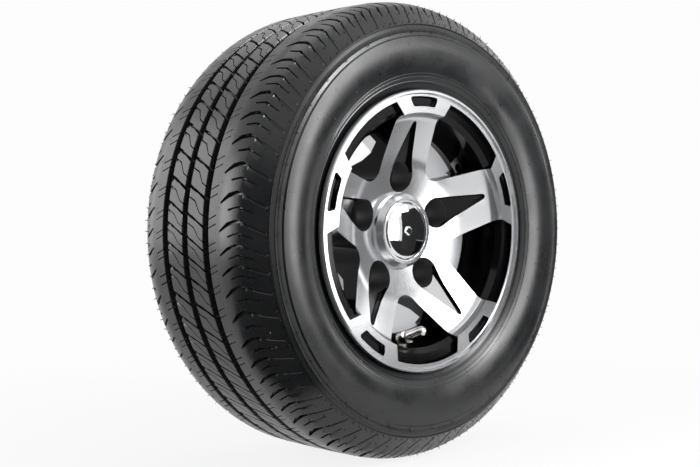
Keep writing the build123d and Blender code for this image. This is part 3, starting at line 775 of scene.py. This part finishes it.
class FittingSettings(bpy.types.PropertyGroup):
    """Finishes of the centre cap and the valve."""

    chrome_colour: colour_setting("Chrome", "Centre cap", "#e9eaeb")
    nickel_colour: colour_setting("Nickel", "Plated valve", "#dcdad7")
    flute_count: IntProperty(name="Flutes", description="Ridges round the valve cap", default=18)


class StageSettings(bpy.types.PropertyGroup):
    """Floor, light and camera."""

    floor_colour: colour_setting("Floor", "Floor and backdrop", "#fdfdfd")
    lens: FloatProperty(name="Lens", description="Focal length in millimetres", default=58.83)
    front_light: light_setting("Front light", "tall soft box in front", 8.0)
    high_light: light_setting("High light", "far soft box on the right", 3.6)
    key_light: light_setting("Key light", "small soft box over the front one", 26.0)
    left_light: light_setting("Left light", "soft box behind on the left", 2.0)
    side_light: light_setting("Side light", "soft box on the left", 6.5)
    right_light: light_setting("Right light", "soft box on the right", 2.2)
    top_light: light_setting("Top light", "soft box overhead", 1.2)
    room_light: light_setting("Room light", "even light all round", 0.3)


def moulding_hairs(settings, rubber, source):
    """Moulding hairs in rings over the buttress and the sidewall, and their stubs on the tread."""
    strand = bpy.data.meshes.new("strand")
    shape = bmesh.new()
    bmesh.ops.create_cone(
        shape, segments=HAIR_SIDES, radius1=settings.hair_radius, radius2=settings.hair_radius * HAIR_TIP,
        depth=settings.hair_length, cap_ends=True,
    )
    bmesh.ops.translate(shape, verts=shape.verts, vec=(0.0, 0.0, settings.hair_length * HAIR_MIDDLE))
    shape.to_mesh(strand)
    shape.free()
    hair = new_object("strand", strand)
    tree = hair_tree()
    centre, size = circle_through(*SIDEWALL_POINTS)
    rings = [
        (place, TYRE_RADIUS / MM - tread_drop(place), count, rise, length)
        for place, count, rise, length in TREAD_HAIRS
    ]
    for radius, count in WALL_HAIRS:
        place = centre.y + math.sqrt(size ** 2 - (radius - centre.x) ** 2)
        rings.append((place, radius, count, WALL_HAIR_LEAN, 1.0))
    gathered = bmesh.new()
    for number, (place, radius, count, rise, length) in enumerate(rings):
        for side in (-1, 1):
            values = {
                "Count": count, "Ring Radius": radius * MM, "Ring Place": side * place * MM,
                "Rise": side * rise, "Length": length, "Seed": HAIR_SEED + 2 * number + side,
                "Hair": hair, "Rubber": rubber,
            }
            gathered.from_mesh(grown_mesh(source, tree, values))
    for vert in gathered.verts:
        vert.co.y = max(TYRE_LOW.y, min(TYRE_HIGH.y, vert.co.y))
    mesh = bpy.data.meshes.new("moulding_hairs")
    gathered.to_mesh(mesh)
    gathered.free()
    mesh.materials.append(rubber)
    obj = new_object("moulding_hairs", mesh)
    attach(obj, "wheel")
    bpy.data.objects.remove(hair)


class WHEEL_OT_tyre(bpy.types.Operator):
    """Make the tyre with its tread, sidewalls and moulding hairs"""

    bl_idname = "wheel.tyre"
    bl_label = "Tyre"

    def execute(self, context):
        settings = context.scene.wheel_tyre
        rubber = moulded_rubber(settings)
        tile = new_object("tread_tile", tread_tile(settings))
        turns = pitch_turns()
        seats = new_mesh("pitch_seats", [(0.0, 0.0, 0.0)] * len(turns), [])
        for label, values in zip(("start", "width"), zip(*turns)):
            seats.attributes.new(label, "FLOAT", "POINT").data.foreach_set("value", values)
        source = new_object("pitch_seats", seats)
        mesh = grown_mesh(source, tread_tree(), {"Tile": tile, "Rubber": rubber})
        shape = bmesh.new()
        shape.from_mesh(mesh)
        bmesh.ops.remove_doubles(shape, verts=shape.verts, dist=SEAM_GAP * MM)
        bmesh.ops.recalc_face_normals(shape, faces=shape.faces)
        shape.to_mesh(mesh)
        shape.free()
        smooth_by_angle(mesh, TREAD_SHARP)
        shade_tread(mesh)
        tyre = new_object("tyre_moulding", mesh)
        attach(tyre, "wheel")
        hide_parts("tyre")
        moulding_hairs(settings, rubber, source)
        bpy.data.objects.remove(source)
        bpy.data.objects.remove(tile)
        return {"FINISHED"}


def rim_finish(face):
    """Which finish a face of the rim has, by where it lies and faces."""
    centre, normal = face.calc_center_median(), face.normal
    radius = sum(math.hypot(v.co.x, v.co.z) for v in face.verts) / len(face.verts) / MM
    out = -centre.y / MM
    radial = (normal.x * centre.x + normal.z * centre.z) / max(math.hypot(centre.x, centre.z), TINY)
    swirl = math.sqrt(max(0.0, 1.0 - normal.y ** 2 - radial ** 2))
    if radius > LIP_INNER_RADIUS - RADIUS_SLACK and out > FLANGE_OUT:
        return TURNED_FACE
    if radius < BOSS_RADIUS + RADIUS_SLACK and out > BOSS_FOOT_OUT and swirl < SIDE_SHARE:
        return TURNED_FACE
    if swirl < SIDE_SHARE and out > between(FACE_LINE, radius) - FACE_SLACK:
        return TURNED_FACE
    on_pad = PAD_RADII[0] < radius < PAD_RADII[1] and PAD_OUTS[0] < out < PAD_OUTS[1]
    if on_pad and -normal.y > FACING_OUT:
        return BARE_BARREL
    if radius > BARREL_RADIUS and out < PAINT_EDGE_OUT and radial < SIDE_SHARE:
        return BARE_BARREL
    for spoke in range(SPOKE_COUNT):
        angle = math.radians(SPOKE_ANGLE + 360 / SPOKE_COUNT * spoke)
        lug = Vector((math.cos(angle), 0.0, math.sin(angle))) * LUG_CIRCLE_RADIUS
        off = math.hypot(centre.x / MM - lug.x, centre.z / MM - lug.z)
        if normal.y < FACING_IN and off < LUG_WELL_RADIUS:
            return LUG_WELL
    return GLOSS_PAINT


def rim_finishes(settings):
    """The rim's four finishes, in the order that their numbers give."""
    # Diamond-turned face under clear lacquer: bright and a little milky, pulled into fans by its rings
    face = turned_aluminium(
        "diamond_turned_aluminium", settings.aluminium_shade, settings.aluminium_colour,
        gloss=0.18, spread=0.05, pull=0.7, metal=0.84,
    )
    # Gloss paint over the cast recesses: deep black, sharp reflections, a faint orange peel of about 3 mm
    paint = grained_finish(
        "gloss_black_paint", settings.paint_colour, "#070708",
        gloss=0.08, metallic=0.0, spread=0.05, grain=3.0, relief=0.05, specular=0.22,
    )
    # Bare barrel: the same lathe rings without lacquer, duller and with more contrast than the face
    bare = turned_aluminium(
        "bare_barrel_aluminium", "#b4b5b8", "#dcdde0", gloss=0.3, spread=0.12, pull=0.5, metal=1.0,
    )
    # Lug wells: satin black paint deep in the holes, drawn a lighter grey than that paint as a painted
    # highlight for the light that reaches into them
    well = grained_finish(
        "satin_black_paint", "#6a6a6b", "#767677", gloss=0.3, metallic=0.65, spread=0.1, grain=2.0,
    )
    return face, paint, bare, well


class WHEEL_OT_rim(bpy.types.Operator):
    """Finish the rim: turned face, gloss paint, bare barrel and broken edges"""

    bl_idname = "wheel.rim"
    bl_label = "Rim"

    def execute(self, context):
        settings = context.scene.wheel_rim
        mesh, shape = merged_copy("rim")
        # The paint ends on the bore at a line of its own
        bmesh.ops.bisect_plane(
            shape, geom=shape.verts[:] + shape.edges[:] + shape.faces[:], dist=CUT_GAP * MM,
            plane_co=(0.0, -PAINT_EDGE_OUT * MM, 0.0), plane_no=(0.0, 1.0, 0.0),
        )
        shape.normal_update()
        for face in shape.faces:
            face.material_index = rim_finish(face)
        rounded = set()
        # First the edges between two painted faces, then every edge that is left
        for width, finish in ((settings.painted_edge, GLOSS_PAINT), (settings.turned_edge, TURNED_FACE)):
            edges = [
                e for e in shape.edges
                if len(e.link_faces) == 2 and e.is_convex
                and e.calc_face_angle(0.0) > math.radians(EDGE_ANGLE)
                and -e.verts[0].co.y > EDGE_LOWEST_OUT * MM and rounded.isdisjoint(e.link_faces)
                and ({f.material_index for f in e.link_faces} == {finish} or finish == TURNED_FACE)
            ]
            rounded |= set(bmesh.ops.bevel(
                shape, geom=edges, offset=width, offset_type="OFFSET", segments=EDGE_SEGMENTS,
                profile=EDGE_PROFILE, affect="EDGES", clamp_overlap=True, material=-1,
            )["faces"])
        shape.normal_update()
        # A rounded edge is shaded by itself, so that it doesn't bend the shading of the broad faces beside it
        for edge in shape.edges:
            sides = {face in rounded for face in edge.link_faces}
            edge.smooth = len(sides) == 1 and edge.calc_face_angle(0.0) < math.radians(SHARP_ANGLE)
        for face in shape.faces:
            face.smooth = True
        shape.to_mesh(mesh)
        shape.free()
        for finish in rim_finishes(settings):
            mesh.materials.append(finish)
        rim = new_object("rim_casting", mesh)
        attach(rim, "wheel")
        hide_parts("rim")
        return {"FINISHED"}


def cap_flutes(settings, nickel):
    """Grip ridges round the valve cap."""
    half, foot, top = FLUTE_WIDTH / 2, -FLUTE_HEIGHT, FLUTE_HEIGHT
    narrow = half * FLUTE_TOP
    section = [(foot, -half), (0.0, -half), (top, -narrow), (top, narrow), (0.0, half), (foot, half)]
    verts = [(x, y, z) for z in VALVE_CAP_GRIP for x, y in section]
    count = len(section)
    faces = [(i, (i + 1) % count, (i + 1) % count + count, i + count) for i in range(count)]
    faces += [tuple(reversed(range(count))), tuple(range(count, 2 * count))]
    flute = new_object("flute", new_mesh("flute", [[v * MM for v in vert] for vert in verts], faces))
    source = new_object("flute_seat", bpy.data.meshes.new("flute_seat"))
    values = {
        "Count": settings.flute_count, "Radius": VALVE_CAP_RADIUS * MM, "Flute": flute, "Metal": nickel,
    }
    mesh = grown_mesh(source, flute_tree(), values)
    turn = VALVE_WAY.to_track_quat("Z", "Y").to_matrix().to_4x4()
    mesh.transform(Matrix.Translation(VALVE_SEAT) @ turn)
    smooth_by_angle(mesh, FLUTE_SHARP)
    obj = new_object("valve_cap_flutes", mesh)
    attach(obj, "valve_cap")
    bpy.data.objects.remove(flute)
    bpy.data.objects.remove(source)


class WHEEL_OT_fittings(bpy.types.Operator):
    """Finish the centre cap, its spring ring and every piece of the valve"""

    bl_idname = "wheel.fittings"
    bl_label = "Cap and valve"

    def execute(self, context):
        settings = context.scene.wheel_fittings
        # Chrome plate on a moulded cap: a mirror that wavers a little over the moulding
        chrome = grained_finish(
            "chrome_plate", "#dcdddf", settings.chrome_colour,
            gloss=0.02, spread=0.03, grain=12.0, relief=0.05,
        )
        # Nickel plate on turned brass: bright, a little soft
        nickel = grained_finish("nickel_plate", "#c2c0bc", settings.nickel_colour, gloss=0.18, spread=0.1)
        # Turned brass: warm yellow with dull patches
        brass = grained_finish("turned_brass", "#b8924a", "#d2ae68", gloss=0.22, grain=0.6)
        # Drawn spring wire: grey with a dry, even shine
        steel = grained_finish("spring_steel_wire", "#86878a", "#a9aaad", gloss=0.26)
        # Moulded seal rubber: matt black with a fine grain
        rubber = grained_finish(
            "moulded_seal_rubber", "#141415", "#202021", gloss=0.55, metallic=0.0, relief=0.3,
        )
        # Turned seal plastic: milky and waxy
        plastic = grained_finish("seal_plastic", "#cfcabc", "#dfdacd", gloss=0.42, metallic=0.0)
        dressed_node("centre_cap", chrome, "wheel")
        dressed_node("cap_spring_ring", steel, "wheel")
        for node in ("valve_stem", "valve_washer", "valve_nut"):
            dressed_node(node, nickel, "wheel")
        dressed_node("valve_grommet", rubber, "wheel")
        dressed_node("valve_core", brass, "wheel")
        dressed_node("core_seal", plastic, "wheel")
        spring = dressed_node("core_spring", steel, None)
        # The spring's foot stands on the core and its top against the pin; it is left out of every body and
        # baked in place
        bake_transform(spring)
        dressed_node("core_pin", brass, "core_pin")
        dressed_node("pin_seal", rubber, "core_pin")
        dressed_node("valve_cap", nickel, "valve_cap")
        dressed_node("valve_cap_seal", rubber, "valve_cap")
        cap_flutes(settings, nickel)
        return {"FINISHED"}


def towards(bearing, distance, height):
    """Place at a bearing from the wheel's street side, in degrees towards +X, at a distance and height."""
    angle = math.radians(bearing)
    return Vector((distance * math.sin(angle), -distance * math.cos(angle), height))


def soft_box(name, width, height, radiance):
    """Soft box of even brightness that shines down."""
    lamp = bpy.data.lights.new(name, "AREA")
    lamp.shape = "RECTANGLE"
    lamp.size, lamp.size_y = width, height
    lamp.energy = radiance * math.pi * lamp.size * lamp.size_y
    return new_object(name, lamp)


def upright_light(name, bearings, distance, heights, radiance):
    """Upright soft box between two bearings and two heights that shines at the axle."""
    (first, last), (low, high) = bearings, heights
    width = 2 * distance * math.tan(math.radians((last - first) / 2))
    obj = soft_box(name, width, high - low, radiance)
    place = towards((first + last) / 2, distance, (low + high) / 2)
    obj.location = place
    obj.rotation_euler = Vector((-place.x, -place.y, 0.0)).to_track_quat("-Z", "Y").to_euler()
    obj.visible_camera = False
    return obj


def felt_card(name, bearings, distances, heights, finish):
    """Flat card between two bearings, from one distance and height to the other."""
    (first, last), (near, far), (low, high) = bearings, distances, heights
    corners = ((first, near, low), (last, near, low), (last, far, high), (first, far, high))
    mesh = new_mesh(name, [towards(*corner) for corner in corners], [(0, 1, 2, 3)])
    mesh.materials.append(finish)
    obj = new_object(name, mesh)
    # A card is there for the reflections alone
    obj.visible_camera = obj.visible_diffuse = obj.visible_shadow = False


def seen_rays(add):
    """Node that gives 1 to what the camera sees, straight or in a mirror, and 0 to light on its way."""
    path = add("ShaderNodeLightPath").outputs
    mirrored = add(
        "ShaderNodeMath", {0: path["Is Glossy Ray"], 1: path["Is Transmission Ray"]}, operation="MAXIMUM",
    )
    return add("ShaderNodeMath", {0: path["Is Camera Ray"], 1: mirrored}, operation="MAXIMUM")


def studio_paper(settings):
    """Matt white paper: it keeps the wheel's shadow close by and fades to the backdrop's white far off."""
    material, add = new_material("studio_paper")
    colour = linear(settings.floor_colour)
    matt = add("ShaderNodeBsdfDiffuse", {"Color": colour})
    glow = add("ShaderNodeEmission", {"Color": colour, "Strength": 1.0})
    place = add("ShaderNodeTexCoord").outputs["Object"]
    off = add("ShaderNodeVectorMath", {0: place}, operation="LENGTH").outputs["Value"]
    near, far = SHADOW_REACH
    fade = add(
        "ShaderNodeMapRange",
        {"Value": off, "From Min": near, "From Max": far, "To Min": SHADOW_GLOW, "To Max": 1.0},
        interpolation_type="SMOOTHSTEP",
    )
    share = add("ShaderNodeMath", {0: seen_rays(add), 1: fade}, operation="MULTIPLY")
    mix = add("ShaderNodeMixShader", {0: share, 1: matt, 2: glow})
    add("ShaderNodeOutputMaterial", {"Surface": mix})
    return material


def white_room(settings):
    """White room: full white to the camera and in reflections, a plain level for its light."""
    world = bpy.data.worlds.new("white_room")
    world.use_nodes = True
    world.node_tree.nodes.clear()
    add = partial(add_node, world.node_tree)
    light = add("ShaderNodeBackground", {"Color": linear("#ffffff"), "Strength": settings.room_light})
    backdrop = add("ShaderNodeBackground", {"Color": linear(settings.floor_colour), "Strength": 1.0})
    mix = add("ShaderNodeMixShader", {0: seen_rays(add), 1: light, 2: backdrop})
    add("ShaderNodeOutputWorld", {"Surface": mix})
    return world


class WHEEL_OT_stage(bpy.types.Operator):
    """Set up the pale floor, the soft lights, the cards and the camera"""

    bl_idname = "wheel.stage"
    bl_label = "Stage"

    def execute(self, context):
        settings = context.scene.wheel_stage
        scene = context.scene
        scene.view_settings.view_transform = "Standard"
        scene.world = white_room(settings)
        sides = ((-1, -1), (1, -1), (1, 1), (-1, 1))
        corners = [(x * FLOOR_REACH, y * FLOOR_REACH, FLOOR) for x, y in sides]
        paper = new_mesh("studio_floor", corners, [(0, 1, 2, 3)])
        paper.materials.append(studio_paper(settings))
        new_object("studio_floor", paper)
        lights = [upright_light(*light, getattr(settings, light[0])) for light in SOFT_LIGHTS]
        overhead = soft_box("top_light", TOP_LIGHT_SIZE, TOP_LIGHT_SIZE, settings.top_light)
        overhead.location = TOP_LIGHT_PLACE
        # Felt: it gives the bright metal and the black paint something dark to mirror
        felts = {
            name: grained_finish(
                name, dark, light, gloss=0.85, metallic=0.0, spread=0.1, grain=4.0, relief=0.2, specular=0.0,
            )
            for name, dark, light in FELTS
        }
        for *card, felt in CARDS:
            felt_card(*card, felts[felt])
        lens = bpy.data.cameras.new("photo_camera")
        lens.lens = settings.lens
        lens.sensor_width = SENSOR_WIDTH
        lens.clip_start = CLIP_START
        camera = new_object("photo_camera", lens)
        camera.location = CAMERA_PLACE
        camera.rotation_euler = CAMERA_LOOK.to_track_quat("-Z", "Y").to_euler()
        scene.camera = camera
        return {"FINISHED"}


class WHEEL_PT_panel(bpy.types.Panel):
    """Settings and builders of the wheel"""

    bl_idname = "WHEEL_PT_panel"
    bl_label = "Trailer wheel"
    bl_space_type = "VIEW_3D"
    bl_region_type = "UI"
    bl_category = "Wheel"

    def draw(self, context):
        # Each group of settings is named like its operator
        for group in SETTINGS:
            box = self.layout.box()
            settings = getattr(context.scene, group)
            for name in settings.__annotations__:
                box.prop(settings, name)
            box.operator(group.replace("_", "."))


SETTINGS = {
    "wheel_tyre": TyreSettings, "wheel_rim": RimSettings, "wheel_fittings": FittingSettings,
    "wheel_stage": StageSettings,
}
CLASSES = (*SETTINGS.values(), WHEEL_OT_tyre, WHEEL_OT_rim, WHEEL_OT_fittings, WHEEL_OT_stage, WHEEL_PT_panel)


def register():
    for cls in CLASSES:
        bpy.utils.register_class(cls)
    for name, group in SETTINGS.items():
        setattr(bpy.types.Scene, name, PointerProperty(type=group))


def unregister():
    for name in SETTINGS:
        delattr(bpy.types.Scene, name)
    for cls in reversed(CLASSES):
        bpy.utils.unregister_class(cls)


def main():
    register()
    bpy.ops.wheel.tyre()
    bpy.ops.wheel.rim()
    bpy.ops.wheel.fittings()
    bpy.ops.wheel.stage()


if __name__ == "__main__":
    main()
